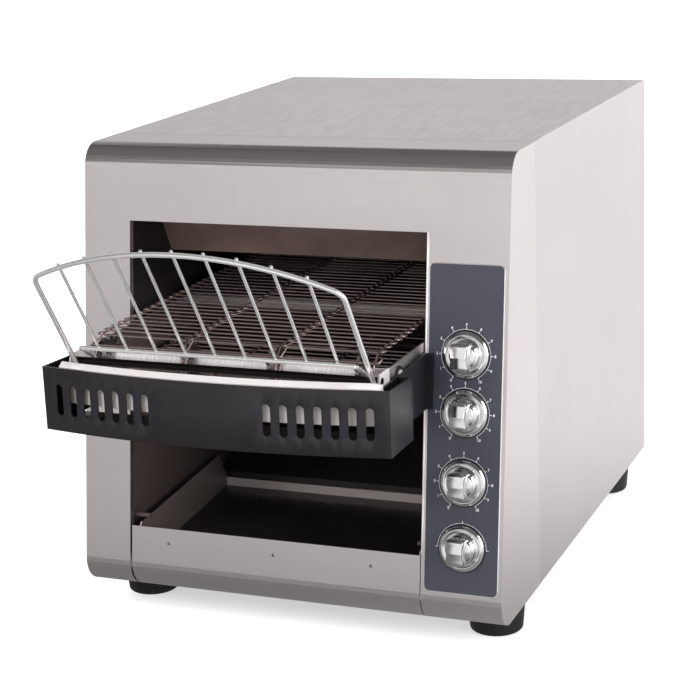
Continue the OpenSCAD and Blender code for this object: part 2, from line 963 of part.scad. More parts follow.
module feed_rack() {
    sweep = atan2(rack_corner[0], rack_corner[1] - rack_rise + rack_arch_r);
    leg_low = -24.5;
    behind = rack_frame_r + rack_wire_r - 0.4;
    cross_half = rack_half - 10;
    wire_low = cross_rise - 3;
    housed() color("white") rack_plane() {
        // arched frame wire
        translate([0, rack_rise - rack_arch_r, 0])
            rotate([0, 0, 90 - sweep])
                wire_arc(rack_arch_r, 2 * sweep, rack_frame_r);
        for (s = [-1, 1]) {
            low = [s * rack_half, rack_corner[1]];
            high = [
                s * (rack_corner[0] + rack_corner_r * sin(sweep)),
                rack_corner[1] + rack_corner_r * cos(sweep)
            ];
            translate([s * rack_half, leg_low, 0])
                wire_up(rack_corner[1] - leg_low, rack_frame_r);
            translate(low)
                rotate([0, 0, atan2(high[1] - low[1], high[0] - low[0]) - 90])
                    wire_up(norm(high - low), rack_frame_r);
            for (p = [low, high])
                translate(p) sphere(r = rack_frame_r + 0.1);
        }
        // inner wires, behind the arch and the cross wire
        for (i = [-4:4])
            translate([i * rack_step, wire_low, behind])
                wire_up(arch(i * rack_step) + 1.3 - wire_low, rack_wire_r);
        // cross wire on the front
        translate([-cross_half, cross_rise, 0])
            rotate([0, 90, 0]) cylinder(r = cross_r, h = 2 * cross_half);
        for (s = [-1, 1])
            translate([s * cross_half, 0, 0]) rack_hook();
    }
}

module wire_arc(r, angle, wire) {
    rotate_extrude(angle = angle)
        translate([r, 0]) circle(r = wire);
}

module wire_up(h, wire) {
    rotate([-90, 0, 0]) cylinder(r = wire, h = h);
}

// Wire from the end of the cross wire over the rod and round behind it
module rack_hook() {
    ring = rod_r + hook_gap + cross_r;
    reach = norm([cross_rise, rack_lead]);
    turn = acos(ring / reach) - atan2(rack_lead, cross_rise);
    straight = sqrt(reach ^ 2 - ring ^ 2);
    translate([0, cross_rise, 0]) sphere(r = cross_r + 0.1);
    translate([0, 0, rack_lead])
        rotate([turn, 0, 0]) {
            translate([0, ring, -straight])
                cylinder(r = cross_r, h = straight);
            rotate([0, 90, 0])
                rotate([0, 0, 90])
                    wire_arc(ring, 150, cross_r);
        }
}

// Black guard round the front: bowed slotted front, bottom, two sides, and an
// arm inside each side that runs back to the face
module conveyor_guard() {
    x0 = guard_mid - guard_w / 2;
    x1 = guard_mid + guard_w / 2;
    housed() color([0.22, 0.21, 0.22]) {
        difference() {
            bowed(x0, x1)
                translate([guard_bow - guard_t, guard_low]) square([guard_t, guard_h]);
            for (s = [-1, 1])
                for (i = [0:slot_count - 1])
                    guard_slot(s * slot_row_x + (i - (slot_count - 1) / 2) * slot_step);
        }
        intersection() {
            translate([guard_mid, bow_y, guard_low])
                cylinder(r = guard_bow - guard_t / 2, h = guard_t, $fn = 720);
            translate([x0 + guard_t / 2, -guard_reach, guard_low - 1])
                cube([guard_w - guard_t, guard_reach + bow_at(x0) + guard_side_d,
                      guard_t + 2]);
        }
        guard_side(x0, 1, seam);
        guard_side(x1 - guard_t, -1, plate_t + 4 / 3 * seam);
    }
}

// One side of the guard, its arm and the edge turned outwards at the face
module guard_side(x, inward, gap) {
    front = bow_at(guard_mid + guard_w / 2);
    back = front + guard_side_d;
    arm_low = guard_low + 5;
    arm_top = guard_top - 2.5;
    arm_x = x + inward * guard_arm_in;
    fold = 5;
    side_cut(x, guard_t)
        polygon([
            [front + guard_t / 4, guard_low], [back, guard_low], [back, arm_top],
            [front + guard_t / 4, guard_top]
        ]);
    // turned in at the back, on to the arm
    translate([inward > 0 ? x + guard_t - eps : arm_x + guard_t - eps,
               back - guard_t, arm_low])
        cube([guard_arm_in - guard_t + 2 * eps, guard_t, arm_top - arm_low]);
    side_cut(arm_x, guard_t)
        polygon([
            [front + 10, arm_low], [face(arm_low, -gap), arm_low],
            [face(arm_top, -gap), arm_top], [front + 10, arm_top]
        ]);
    side_cut(inward > 0 ? arm_x - fold + eps : arm_x + guard_t - eps, fold)
        polygon([
            [face(arm_low, -gap), arm_low], [face(arm_top, -gap), arm_top],
            [face(arm_top, -gap - guard_t), arm_top],
            [face(arm_low, -gap - guard_t), arm_low]
        ]);
}

// Upright slot with round ends through the guard's front, at a distance
// along the bow
module guard_slot(along) {
    r = slot_w / 2;
    mid_z = guard_low + guard_h / 2;
    translate([guard_mid, bow_y, mid_z])
        rotate([0, 0, along / guard_bow * 180 / PI])
            translate([0, -guard_bow - 1, 0])
                rotate([-90, 0, 0])
                    linear_extrude(guard_t + 2) {
                        square([slot_w, slot_h - slot_w], center = true);
                        for (s = [-1, 1])
                            translate([0, s * (slot_h / 2 - r)]) circle(r = r);
                    }
}

// ---- Drive ----

module drive_sprocket() {
    housed() color("dimgray")
        translate([chain_x - chain_w / 2 + 0.6, rear_shaft_y, shaft_z])
            rotate([90, 0, 90]) {
                linear_extrude(2)
                    toothed(drive_teeth, drive_r - 1.2, drive_r - 3.5,
                            shaft_r + run_fit);
                translate([0, 0, 2 - eps])
                    linear_extrude(6)
                        difference() {
                            circle(r = 9);
                            circle(r = shaft_r + run_fit);
                        }
            }
}

// Outline of a loop round two wheels, one at the origin and one at
// distance d below it
function loop_outline(r0, r1, d) = let (a = acos((r0 - r1) / d)) concat(
    arc([0, 0], r0, a - 90, 270 - a, 24),
    arc([0, -d], r1, 270 - a, 270 + a, 18)
);

module drive_chain() {
    housed() color("dimgray")
        translate([chain_x - chain_w / 2, rear_shaft_y, shaft_z])
            rotate([90, 0, 90])
                linear_extrude(chain_w)
                    difference() {
                        polygon(loop_outline(drive_r + chain_half,
                                             pinion_r + chain_half, chain_reach));
                        polygon(loop_outline(drive_r - 0.7,
                                             pinion_r - 0.7, chain_reach));
                    }
}

module motor_pinion() {
    x0 = chain_x - chain_w / 2 + 0.6;
    housed() color("dimgray")
        translate([0, rear_shaft_y, pinion_z]) {
            translate([x0, 0, 0])
                rotate([90, 0, 90])
                    linear_extrude(2)
                        toothed(pinion_teeth, pinion_r - 1.2, pinion_r - 3.2, 1);
            rod_x(x0 + 2 - eps, x0 + 20, 0, 0, 4);
            rod_x(x0 - 2, x0 + eps, 0, 0, 4);
        }
}

// Gearbox outside the chain, with the motor below it
module gear_motor() {
    x0 = chain_x + chain_w / 2 + 4;
    box = [28, 62, 62];
    housed() color("dimgray") {
        difference() {
            translate([x0, rear_shaft_y - 31, pinion_z - 40]) cube(box);
            rod_x(x0 - 1, x0 + 18, rear_shaft_y, pinion_z, 4 + run_fit);
        }
        // motor in line behind the gearbox
        translate([x0 + 14, rear_shaft_y - 31 + eps, pinion_z - 24])
            rotate([90, 0, 0]) cylinder(r = 13.5, h = 58);
        // feet to the tunnel wall
        for (y = [rear_shaft_y - 29, rear_shaft_y + 21])
            translate([wall_right + liner + seam, y, pinion_z - 38])
                cube([x0 - wall_right - liner - seam + eps, 8, 10]);
    }
}

// ---- Controls ----

module control_plate() {
    housed() color([0.3, 0.32, 0.35])
        on_face(0, 0)
            translate([0, 0, seam / 3])
                linear_extrude(plate_t)
                    difference() {
                        plate_outline();
                        for (z = knob_z)
                            translate([knob_x, z / lean_cos]) circle(r = bushing_r + 0.5);
                    }
}

// Rounded rectangle on the face
module plate_outline() {
    r = 4;
    x0 = plate_x[0];
    x1 = plate_x[1];
    y0 = plate_z[0] / lean_cos;
    y1 = plate_z[1] / lean_cos;
    polygon(concat(
        arc([x1 - r, y1 - r], r, 0, 90, 5), arc([x0 + r, y1 - r], r, 90, 180, 5),
        arc([x0 + r, y0 + r], r, 180, 270, 5), arc([x1 - r, y0 + r], r, 270, 360, 5)
    ));
}

// Half width of a knob's grip at a share of its half length: a waist for the
// fingers, wider towards the ends, which are rounded off
function grip_half_w(share) =
    (grip_waist / 2 + 1.6 * share ^ 2) * sqrt(1 - share ^ 16);
function grip_side(s, n = 16) = [
    for (i = [0:n - 1]) let (share = sin(90 * (2 * i / n - 1)))
        s * [grip_half_w(share), share * grip_len / 2]
];

// Knob: round skirt with a bar grip
module knob(z) {
    base = seam / 3 + plate_t + skirt_gap;
    housed() color("gainsboro")
        on_face(knob_x, z)
            translate([0, 0, base])
                difference() {
                    union() {
                        rotate_extrude()
                            polygon([
                                [0, 0], [knob_r, 0], [knob_r, 1.6],
                                [knob_r - 1.2, 2.8], [12.8, 4.2], [0, 4.2]
                            ]);
                        translate([0, 0, 3])
                            linear_extrude(knob_h - 3)
                                polygon(concat(grip_side(1), grip_side(-1)));
                    }
                    translate([0, 0, -1])
                        cylinder(r = spindle_r + run_fit, h = 14);
                }
}

module speed_knob() {
    knob(knob_z[0]);
}

module upper_heat_knob() {
    knob(knob_z[1]);
}

module lower_heat_knob() {
    knob(knob_z[2]);
}

module power_knob() {
    knob(knob_z[3]);
}

// Turning spindle of a control
module spindle(z) {
    base = seam / 3 + plate_t + skirt_gap;
    housed() color("silver")
        on_face(knob_x, z)
            translate([0, 0, -sheet - 10])
                cylinder(r = spindle_r, h = sheet + 10 + base + 12.5);
}

module speed_spindle() {
    spindle(knob_z[0]);
}

module upper_heat_spindle() {
    spindle(knob_z[1]);
}

module lower_heat_spindle() {
    spindle(knob_z[2]);
}

module power_spindle() {
    spindle(knob_z[3]);
}

// Body of a control behind the post, its bushing through the face
module control_body(z, r, h) {
    housed() color("teal")
        on_face(knob_x, z)
            difference() {
                union() {
                    translate([0, 0, -sheet - seam / 3 - h]) cylinder(r = r, h = h);
                    translate([0, 0, -sheet - seam / 3 - eps])
                        cylinder(r = bushing_r, h = sheet + seam / 3 + plate_t);
                    for (x = [-6, 0, 6])
                        translate([x - 1.5, -r - 5, -sheet - h / 2 - 2])
                            cube([3, r - 2, 0.8]);
                }
                translate([0, 0, -sheet - 10.5])
                    cylinder(r = spindle_r + run_fit, h = 20);
            }
}

module speed_control() {
    control_body(knob_z[0], control_r, 14);
}

module upper_heat_control() {
    control_body(knob_z[1], control_r + 2, 18);
}

module lower_heat_control() {
    control_body(knob_z[2], control_r + 2, 18);
}

module power_switch() {
    control_body(knob_z[3], control_r + 1, 26);
}

// ---- Rear ----

module fan_frame() {
    housed() color([0.12, 0.12, 0.13])
        translate([fan_x, fan_y, fan_z])
            rotate([90, 0, 0])
                difference() {
                    union() {
                        difference() {
                            linear_extrude(fan_d)
                                difference() {
                                    square(fan_w, center = true);
                                    circle(r = fan_bore);
                                    for (x = [-1, 1]) for (y = [-1, 1])
                                        translate([x, y] * (fan_w / 2 - 5)) circle(r = 2.2);
                                }
                        }
                        translate([0, 0, fan_d - 6]) cylinder(r = fan_hub, h = 6);
                        for (a = [0:90:270])
                            rotate([0, 0, a])
                                translate([fan_hub - 2, -2, fan_d - 3])
                                    cube([fan_bore - fan_hub + 3, 4, 3]);
                    }
                    translate([0, 0, fan_d - 8]) cylinder(r = 2 + run_fit, h = 7);
                }
}

module fan_rotor() {
    blades = 7;
    low = 2;
    high = fan_d - 6 - move_gap;
    housed() color([0.12, 0.12, 0.13])
        translate([fan_x, fan_y, fan_z])
            rotate([90, 0, 0]) {
                translate([0, 0, low]) cylinder(r = fan_hub - 0.5, h = high - low);
                translate([0, 0, high - 1]) cylinder(r = 2, h = 5);
                for (i = [0:blades - 1])
                    rotate([0, 0, i * 360 / blades])
                        intersection() {
                            translate([fan_hub - 3, 0, (low + high) / 2])
                                rotate([38, 0, 0])
                                    translate([0, -10.5, -0.8])
                                        cube([fan_bore, 21, 1.6]);
                            translate([0, 0, low])
                                cylinder(r = fan_bore - 1, h = high - low);
                        }
            }
}

module fan_guard() {
    wire = 1;
    housed() color("silver")
        translate([fan_x, body_d + wire + seam / 2, fan_z])
            rotate([-90, 0, 0]) {
                for (r = [10, 19, 28, 37, fan_bore + 4])
                    rotate_extrude() translate([r, 0]) circle(r = wire);
                for (a = [45:90:315])
                    rotate([0, 0, a])
                        translate([8, 0, wire * 1.2])
                            rotate([0, 90, 0]) cylinder(r = wire, h = fan_bore - 3);
            }
}

gland_x = body_w - 40;
gland_z = 45;
gland_thread_r = 8;
gland_bore_r = 4.6;

module cord_gland() {
    housed() color([0.1, 0.1, 0.1])
        translate([gland_x, body_d, gland_z])
            rotate([-90, 0, 0])
                difference() {
                    union() {
                        translate([0, 0, seam / 2]) cylinder(r = 12, h = 5, $fn = 6);
                        translate([0, 0, 5]) cylinder(r = 9.5, h = gland_out - 5);
                        translate([0, 0, -14]) cylinder(r = gland_thread_r, h = 15);
                        translate([0, 0, -sheet - seam / 2 - 4])
                            cylinder(r = 12, h = 4, $fn = 6);
                    }
                    translate([0, 0, -20]) cylinder(r = gland_bore_r, h = 50);
                }
}

module rear_screws() {
    housed() color("silver")
        for (x = [8, body_w - 8])
            for (z = [14, 130, 245, body_h - 10])
                translate([x, body_d + seam / 3, z])
                    rotate([-90, 0, 0])
                        intersection() {
                            cylinder(r = 3.6, h = 2.2);
                            translate([0, 0, -2.6]) sphere(r = 4.8);
                        }
}

// ---- Feet ----

// Rubber foot with a sunk screw seat
module foot(x, y) {
    rim = 3;
    housed() color([0.12, 0.11, 0.11])
        translate([x, y, -foot_h])
            rotate_extrude()
                polygon(concat(
                    [[5, 4], [5, 0]],
                    arc([foot_r - 2 - rim, rim], rim, 270, 350, 6),
                    [[foot_r, foot_h], [2.6, foot_h], [2.6, 4]]
                ));
}

module foot_front_left() {
    foot(foot_side, foot_front);
}

module foot_front_right() {
    foot(body_w - foot_side, foot_front);
}

module foot_rear_left() {
    foot(foot_side, body_d - foot_back);
}

module foot_rear_right() {
    foot(body_w - foot_side, body_d - foot_back);
}

front_bezel();
top_cover();
left_side_panel();
right_side_panel();
rear_panel();
base_pan();
tray_front();
toast_tray();
left_inner_wall();
right_inner_wall();
discharge_chute();
upper_reflector();
feed_baffle();
lower_reflector();
upper_heater_front();
upper_heater_middle();
upper_heater_rear();
lower_heater_front();
lower_heater_rear();
heater_holders();
left_rail();
right_rail();
tie_rods();
front_channel();
rack_rod();
feed_rack();
conveyor_guard();
front_shaft();
front_sprockets();
rear_shaft();
rear_sprockets();
shaft_bushings();
belt();
drive_sprocket();
drive_chain();
motor_pinion();
gear_motor();
control_plate();
speed_knob();
upper_heat_knob();
lower_heat_knob();
power_knob();
speed_control();
upper_heat_control();
lower_heat_control();
power_switch();
speed_spindle();
upper_heat_spindle();
lower_heat_spindle();
power_spindle();
fan_frame();
fan_rotor();
fan_guard();
cord_gland();
rear_screws();
foot_front_left();
foot_front_right();
foot_rear_left();
foot_rear_right();
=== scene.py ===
import math

import bpy
from mathutils import Euler, Matrix, Vector


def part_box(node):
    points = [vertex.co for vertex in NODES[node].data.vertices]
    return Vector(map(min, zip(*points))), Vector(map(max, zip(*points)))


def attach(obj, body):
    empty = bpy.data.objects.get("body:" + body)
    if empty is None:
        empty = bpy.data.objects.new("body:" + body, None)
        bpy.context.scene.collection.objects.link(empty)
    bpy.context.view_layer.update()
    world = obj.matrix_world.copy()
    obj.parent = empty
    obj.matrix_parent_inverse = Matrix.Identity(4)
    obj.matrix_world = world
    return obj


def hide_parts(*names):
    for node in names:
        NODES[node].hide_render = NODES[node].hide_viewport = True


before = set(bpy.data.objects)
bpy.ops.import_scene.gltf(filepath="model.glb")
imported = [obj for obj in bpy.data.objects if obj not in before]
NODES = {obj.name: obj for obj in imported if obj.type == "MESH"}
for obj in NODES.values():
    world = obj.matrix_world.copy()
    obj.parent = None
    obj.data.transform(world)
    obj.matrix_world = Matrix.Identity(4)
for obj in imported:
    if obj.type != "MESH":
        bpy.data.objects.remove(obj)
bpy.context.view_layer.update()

# ---- The housing's own frame, in millimetres: X from its left side, Y back from the
# front face's foot, Z above its bottom. point() turns it into the row frame in metres.
BODY_W, BODY_D, FOOT_H = 368.0, 490.0, 25.0
LEAN = math.radians(8.2)
COS_LEAN, SIN_LEAN = math.cos(LEAN), math.sin(LEAN)
GLAND_OUT = 14.0
# the feed rack hooks onto a rod, and its frame wire passes RACK_LEAD in front of it
ROD_Y, ROD_Z, ROD_R = -65.5, 221.0, 3
RACK_TILT = math.radians(33.3)
RACK_RISE, RACK_LEAD, FRAME_R = 130.0, 5.5, 2.0
RACK_REACH = (
    -ROD_Y + RACK_RISE * math.sin(RACK_TILT) + RACK_LEAD * math.cos(RACK_TILT) + FRAME_R
)
FACE_Y = (RACK_REACH - BODY_D - GLAND_OUT) / 2


def point(x, y, z):
    return Vector(((x - BODY_W / 2) / 1000, (y + FACE_Y) / 1000, (z + FOOT_H) / 1000))


def on_face(x, u, out=0.0):
    """A point u up the raked face and out in front of it."""
    return point(x, u * SIN_LEAN - out * COS_LEAN, u * COS_LEAN + out * SIN_LEAN)


# turns a flat drawing's X, Y and Z to across the face, up it and out of it
FACE_TURN = Matrix(
    (Vector((1, 0, 0)), Vector((0, SIN_LEAN, COS_LEAN)), Vector((0, -COS_LEAN, SIN_LEAN)))
).transposed().to_4x4()

# ---- Camera, fitted to the photograph
PHOTO_PX, FOCAL_PX, SENSOR = 700, 1894.62, 36
CAMERA_AT = point(784.81, -1309.07, 605.75)
CAMERA_TURN = Euler([math.radians(a) for a in (74.89813, 2.24400, 21.58318)])

cam_data = bpy.data.cameras.new("Camera")
cam = bpy.data.objects.new("Camera", cam_data)
bpy.context.scene.collection.objects.link(cam)
bpy.context.scene.camera = cam
bpy.context.scene.view_settings.view_transform = "Standard"
cam_data.sensor_width = SENSOR
cam_data.lens = FOCAL_PX * SENSOR / PHOTO_PX
cam_data.clip_start, cam_data.clip_end = 0.05, 50
cam.matrix_world = Matrix.Translation(CAMERA_AT) @ CAMERA_TURN.to_matrix().to_4x4()

# ---- Node helpers


def add_node(tree, kind, inputs=None, **settings):
    """A new node, each input set to a value or linked to another node's output."""
    node = tree.nodes.new(kind)
    for name, value in settings.items():
        setattr(node, name, value)
    for key, value in (inputs or {}).items():
        if isinstance(value, bpy.types.NodeSocket):
            tree.links.new(value, node.inputs[key])
        else:
            node.inputs[key].default_value = value
    return node


def between(tree, value, start, end, lo=0.0, hi=1.0):
    """A smooth step from lo to hi as value goes from start to end."""
    node = add_node(
        tree, "ShaderNodeMapRange",
        {"Value": value, "From Min": start, "From Max": end, "To Min": lo, "To Max": hi},
        interpolation_type="SMOOTHSTEP",
    )
    return node.outputs["Result"]


def times(tree, a, b):
    return add_node(tree, "ShaderNodeMath", {0: a, 1: b}, operation="MULTIPLY").outputs[0]


def mix_shaders(tree, share, a, b):
    return add_node(tree, "ShaderNodeMixShader", {0: share, 1: a, 2: b}).outputs[0]


def ray_kind(tree, *kinds):
    """1 for the named kinds of ray, 0 for the others."""
    path = add_node(tree, "ShaderNodeLightPath")
    total = path.outputs[kinds[0]]
    for kind in kinds[1:]:
        either = {0: total, 1: path.outputs[kind]}
        total = add_node(tree, "ShaderNodeMath", either, operation="MAXIMUM").outputs[0]
    return total


# ---- Kinds of material
# A noise texture stays mostly between these two values.
NOISE_LO, NOISE_HI = 0.3, 0.7
NOISE_ROUGHNESS = 0.55


class Material:
    """One material, whose colour, gloss and surface vary with noise."""

    def __init__(self, name, color, rough, metal=0.0):
        self.data = bpy.data.materials.new(name)
        self.data.use_nodes = True
        self.tree = self.data.node_tree
        self.shader = self.tree.nodes["Principled BSDF"]
        self.color = color
        self.rough = rough
        self.set("Base Color", (*color, 1))
        self.set("Roughness", rough)
        self.set("Metallic", metal)
        self.coord = add_node(self.tree, "ShaderNodeTexCoord").outputs["Object"]

    def set(self, socket, value):
        self.shader.inputs[socket].default_value = value

    def link(self, output, socket):
        self.tree.links.new(output, self.shader.inputs[socket])

    def noise(self, scale, detail, stretch=(1, 1, 1)):
        place = {"Vector": self.coord, "Scale": stretch}
        mapped = add_node(self.tree, "ShaderNodeMapping", place).outputs["Vector"]
        texture = add_node(self.tree, "ShaderNodeTexNoise", {
            "Vector": mapped, "Scale": scale, "Detail": detail,
            "Roughness": NOISE_ROUGHNESS,
        })
        return texture.outputs["Fac"]

    def tint(self, fac, spread):
        """Vary the base colour by the share spread, down and up."""
        ramp = add_node(self.tree, "ShaderNodeValToRGB", {"Fac": fac})
        darker = [max(0, c * (1 - spread)) for c in self.color]
        lighter = [min(1, c * (1 + spread)) for c in self.color]
        stops = ramp.color_ramp.elements
        stops[0].position, stops[0].color = NOISE_LO, (*darker, 1)
        stops[1].position, stops[1].color = NOISE_HI, (*lighter, 1)
        self.link(ramp.outputs["Color"], "Base Color")

    def roughen(self, fac, spread):
        varied = add_node(self.tree, "ShaderNodeMapRange", {
            "Value": fac, "From Min": NOISE_LO, "From Max": NOISE_HI,
            "To Min": self.rough - spread, "To Max": self.rough + spread,
        })
        self.link(varied.outputs["Result"], "Roughness")

    def bump(self, fac, strength, distance):
        bumps = add_node(self.tree, "ShaderNodeBump", {
            "Height": fac, "Strength": strength, "Distance": distance,
        })
        self.link(bumps.outputs["Normal"], "Normal")


def sheet_metal(name, color, rough, grain, tint=0.02, bump=0.03, metal=1.0):
    """Brushed or turned metal: grain is how many marks a metre holds along X, Y and Z."""
    m = Material(name, color, rough, metal)
    marks = m.noise(1.0, 4.0, grain)
    cloud = m.noise(9.0, 2.0)
    m.tint(cloud, tint)
    m.roughen(marks, 0.06)
    m.bump(marks, bump, 0.0004)
    return m.data


def painted(name, color, rough, pebble, bump, tint, coat=0.0, specular=0.5):
    """Paint, enamel, rubber or moulded plastic: pebble is the scale of its fine surface."""
    m = Material(name, color, rough)
    fine = m.noise(pebble, 2.0)
    cloud = m.noise(14.0, 3.0)
    m.tint(cloud, tint)
    m.roughen(cloud, 0.05)
    m.bump(fine, bump, 0.0002)
    m.set("Coat Weight", coat)
    m.set("Specular IOR Level", specular)
    return m.data


def milky_quartz():
    m = Material("quartz_tube", (0.55, 0.52, 0.49), 0.35)
    m.tint(m.noise(60, 2.0, (0.2, 1, 1)), 0.05)
    m.bump(m.noise(400, 2.0), 0.03, 0.0002)
    m.set("Coat Weight", 0.6)
    return m.data


def fade(material, field, axis, start, end, color, rough):
    """Turn a material into another colour as a part of field goes from start to end."""
    tree = material.node_tree
    shader = tree.nodes["Principled BSDF"]
    geometry = add_node(tree, "ShaderNodeNewGeometry").outputs[field]
    parts = add_node(tree, "ShaderNodeSeparateXYZ", {0: geometry}).outputs
    share = between(tree, parts[axis], start, end)
    # a mix node has its own pair of inputs, and its own output, for each type of data
    mixes = (
        ("Base Color", (*color, 1), "RGBA", 6, 7, 2),
        ("Roughness", rough, "FLOAT", 2, 3, 0),
    )
    for socket, value, data_type, first, second, result in mixes:
        own = shader.inputs[socket].links[0].from_socket
        inputs = {"Factor": share, first: own, second: value}
        mix = add_node(tree, "ShaderNodeMix", inputs, data_type=data_type)
        tree.links.new(mix.outputs[result], shader.inputs[socket])


# ---- Materials
LEVEL_MARKS = (60, 60, 1500)
TOP_MARKS = (1500, 30, 60)
TOP_STEEL = (0.60, 0.535, 0.565)
ROLLED = (90, 700, 90)
FOLDED = (30, 60, 300)
TURNED = (900, 60, 60)


def even(marks):
    return (marks, marks, marks)


MATERIALS = {
    "front": sheet_metal("front_steel", (0.80, 0.745, 0.74), 0.36, LEVEL_MARKS),
    "side": sheet_metal("side_steel", (0.74, 0.69, 0.695), 0.34, LEVEL_MARKS, bump=0.015),
    "top": sheet_metal("top_steel", TOP_STEEL, 0.34, TOP_MARKS, tint=0.03, bump=0.006),
    "plated": sheet_metal("plated_steel", (0.50, 0.49, 0.49), 0.42, ROLLED),
    "rail": sheet_metal(
        "rail_steel", (0.80, 0.76, 0.76), 0.34, FOLDED, tint=0.03, bump=0.004),
    "lip": sheet_metal(
        "lip_steel", (0.86, 0.81, 0.81), 0.46, FOLDED, tint=0.03, bump=0.004, metal=0.25),
    "reflector": sheet_metal("reflector_sheet", (0.22, 0.19, 0.175), 0.40, (30, 700, 90)),
    "wire": sheet_metal(
        "bright_wire_steel", (0.84, 0.83, 0.82), 0.12, even(400), tint=0.03, bump=0.01,
        metal=0.75),
    "rod": sheet_metal("dark_rod_steel", (0.025, 0.022, 0.022), 0.35, TURNED, tint=0.06),
    "belt": sheet_metal(
        "belt_wire_steel", (0.58, 0.455, 0.43), 0.42, even(500), tint=0.25, bump=0.02),
    "sprocket": sheet_metal(
        "sprocket_steel", (0.36, 0.34, 0.335), 0.30, even(300), tint=0.10),
    "shaft": sheet_metal("turned_steel", (0.84, 0.82, 0.80), 0.12, TURNED, tint=0.03),
    "bar": sheet_metal(
        "belt_shaft_steel", (0.90, 0.87, 0.86), 0.25, TURNED, tint=0.03, metal=0.3),
    "spot": sheet_metal("spot_weld", (0.30, 0.26, 0.25), 0.45, even(300), tint=0.1),
    "bronze": sheet_metal(
        "sintered_bronze", (0.085, 0.072, 0.060), 0.45, even(500), tint=0.08),
    "chain": sheet_metal("chain_steel", (0.20, 0.195, 0.19), 0.35, even(500), tint=0.1),
    "chrome": sheet_metal("knob_chrome", (0.80, 0.79, 0.79), 0.10, even(300), bump=0.002),
    "satin": sheet_metal(
        "knob_satin_chrome", (0.78, 0.77, 0.77), 0.20, even(200), bump=0.002),
    "tray": painted(
        "tray_coating", (0.016, 0.014, 0.014), 0.28, 700, bump=0.03, tint=0.25, coat=0.2),
    "liner": painted(
        "tunnel_liner", (0.012, 0.010, 0.010), 0.34, 500, bump=0.05, tint=0.3),
    "chute": painted("chute_sheet", (0.020, 0.017, 0.016), 0.4, 500, bump=0.05, tint=0.3),
    "baffle": painted(
        "baffle_sheet", (0.225, 0.152, 0.132), 0.45, 500, bump=0.05, tint=0.35),
    "guard": painted(
        "guard_powder_coat", (0.0125, 0.0105, 0.0135), 0.33, 1500, bump=0.10, tint=0.08,
        specular=0.46),
    "plate": painted(
        "control_plate_film", (0.050, 0.052, 0.070), 0.40, 2500, bump=0.05, tint=0.05),
    "marks": painted("dial_print", (0.80, 0.80, 0.82), 0.5, 2500, bump=0.02, tint=0.04),
    "rubber": painted(
        "foot_rubber", (0.006, 0.0055, 0.0055), 0.55, 900, bump=0.12, tint=0.2),
    "black": painted(
        "black_plastic", (0.020, 0.020, 0.021), 0.45, 1200, bump=0.08, tint=0.15),
    "motor": painted("motor_enamel", (0.16, 0.16, 0.165), 0.45, 700, bump=0.1, tint=0.1),
    "control": painted(
        "control_moulding", (0.05, 0.09, 0.10), 0.4, 900, bump=0.06, tint=0.1),
    "ceramic": painted(
        "ceramic_block", (0.72, 0.69, 0.62), 0.7, 600, bump=0.15, tint=0.06),
    # black for the ring behind each knob's skirt, a painted shadow
    "shadow": painted(
        "knob_painted_shadow_black", (0.010, 0.010, 0.011), 0.4, 1200, bump=0.05, tint=0.1),
    "quartz": milky_quartz(),
}

# painted light, set by the way each face looks: the tray's walls get a paler colour than its
# floor, a painted sheen, and its forward faces such as the rear lip a pale one, a painted
# highlight
fade(MATERIALS["tray"], "Normal", "Z", 0.8, 0.3, (0.17, 0.135, 0.125), 0.35)
fade(MATERIALS["tray"], "Normal", "Y", -0.4, -0.8, (0.78, 0.68, 0.65), 0.40)
# painted shade: the channel's forward faces, in the guard's shade, are darker than its lip
fade(MATERIALS["lip"], "Normal", "Y", -0.6, -0.95, (0.34, 0.30, 0.295), 0.45)
# the front sheet takes the top's colour where it wraps back onto the top
fade(MATERIALS["front"], "Normal", "Z", 0.70, 0.99, TOP_STEEL, 0.34)
# painted light: the tunnel's walls are paler below the belt, where light from the front falls
# on them
fade(MATERIALS["liner"], "Position", "Z", 0.215, 0.165, (0.085, 0.063, 0.058), 0.42)

# ---- The CAD nodes' materials, and rounded edges where they show
MATERIAL_NODES = {
    "front": ["front_bezel", "tray_front"],
    "top": ["top_cover"],
    "side": ["left_side_panel", "right_side_panel", "rear_panel"],
    "plated": ["base_pan", "drive_sprocket", "motor_pinion"],
    "tray": ["toast_tray"],
    "liner": ["left_inner_wall", "right_inner_wall"],
    "chute": ["discharge_chute"],
    "reflector": ["upper_reflector", "lower_reflector"],
    "baffle": ["feed_baffle"],
    "ceramic": ["heater_holders"],
    "rail": ["left_rail", "right_rail"],
    "rod": ["tie_rods", "rack_rod"],
    "lip": ["front_channel"],
    "wire": ["feed_rack", "fan_guard"],
    "guard": ["conveyor_guard"],
    "bar": ["front_shaft"],
    "sprocket": ["front_sprockets", "rear_sprockets"],
    "shaft": ["rear_shaft", "rear_screws"],
    "bronze": ["shaft_bushings"],
    "belt": ["belt"],
    "chain": ["drive_chain"],
    "motor": ["gear_motor"],
    "plate": ["control_plate"],
    "control": ["speed_control", "upper_heat_control", "lower_heat_control", "power_switch"],
    "black": ["fan_frame", "fan_rotor", "cord_gland"],
}
NODE_MATERIAL = {node: key for key, nodes in MATERIAL_NODES.items() for node in nodes}
# the other nodes come in sets, with a word in common
SET_MATERIAL = {"heater": "quartz", "knob": "chrome", "spindle": "shaft", "foot": "rubber"}
# widths in millimetres; the front channel's short edges leave its own bevel no width
BEVELS = {
    "front_bezel": 0.9, "tray_front": 1.2, "conveyor_guard": 0.4, "left_rail": 0.4,
    "right_rail": 0.4, "front_channel": 0.25, "control_plate": 0.25,
    "right_side_panel": 0.3, "left_side_panel": 0.3, "top_cover": 0.3,
    "front_sprockets": 0.25,
}
EDGE_ANGLE = math.radians(35)
WELD_DISTANCE = 0.00001


def dress(node, material):
    mesh = node.data
    mesh.materials.clear()
    mesh.materials.append(material)
    for polygon in mesh.polygons:
        polygon.material_index = 0


